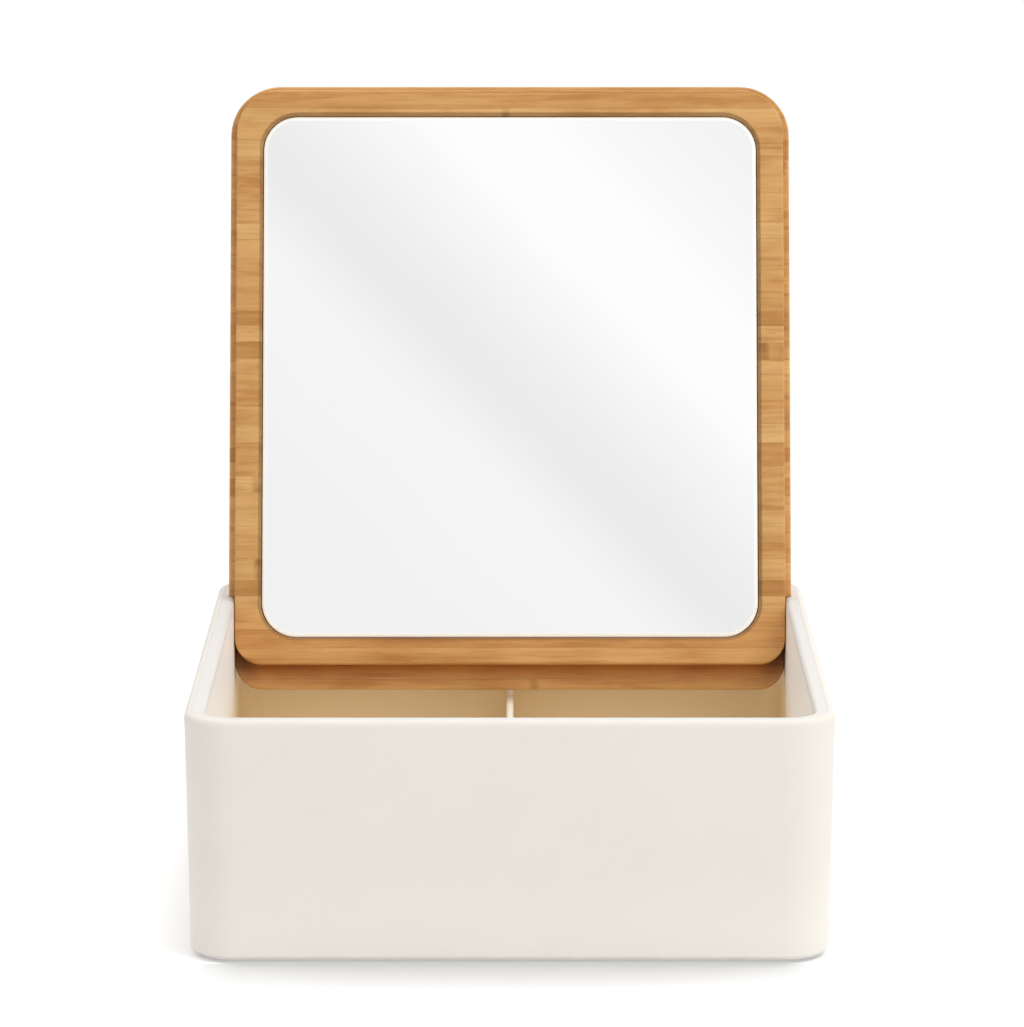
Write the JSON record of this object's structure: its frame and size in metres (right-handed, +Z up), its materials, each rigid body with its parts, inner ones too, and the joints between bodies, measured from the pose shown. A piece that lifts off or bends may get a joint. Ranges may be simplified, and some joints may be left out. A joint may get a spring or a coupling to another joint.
{
  "type": "vanity box with mirror lid",
  "caption": "Drafted moulded box with a divided inner tray and a bamboo lid that carries an inset mirror; the lid swings on pins near the rear and stands open, leaning back.",
  "frame": {"origin": "middle of the box's footprint, at the height of the table, 1 mm below the middle of the shell's flat underside", "axes": "+Z up, -Y out of the front of the box, +X to the right of someone facing the front"},
  "size_m": [0.18, 0.2198, 0.2209],
  "materials": {
    "moulded_plastic": "cream-white moulded plastic with a fine satin texture",
    "bamboo": "caramel laminated bamboo, clear satin lacquer",
    "mirror": "silvered glass with a ground bevel",
    "foam_tape": "closed-cell mounting foam",
    "bush_plastic": "natural acetal",
    "pin_steel": "ground",
    "foot_rubber": "matt silicone"
  },
  "bodies": {
    "box": {"outer_shell": "moulded_plastic", "inner_tray": "moulded_plastic", "hinge_bush_left": "bush_plastic", "hinge_bush_right": "bush_plastic", "foot_front_left": "foot_rubber", "foot_front_right": "foot_rubber", "foot_rear_left": "foot_rubber", "foot_rear_right": "foot_rubber"},
    "lid": {"lid_panel": "bamboo", "mirror_frame": "bamboo", "mirror_glass": "mirror", "mirror_tape": "foam_tape", "hinge_pin_left": "pin_steel", "hinge_pin_right": "pin_steel"}
  },
  "joints": [
    {"name": "lid_hinge", "type": "hinge", "parent": "box", "child": "lid", "pos_m": [0, 0.0666, 0.06585], "axis": [1, 0, 0], "range_deg": [0, 106]}
  ]
}
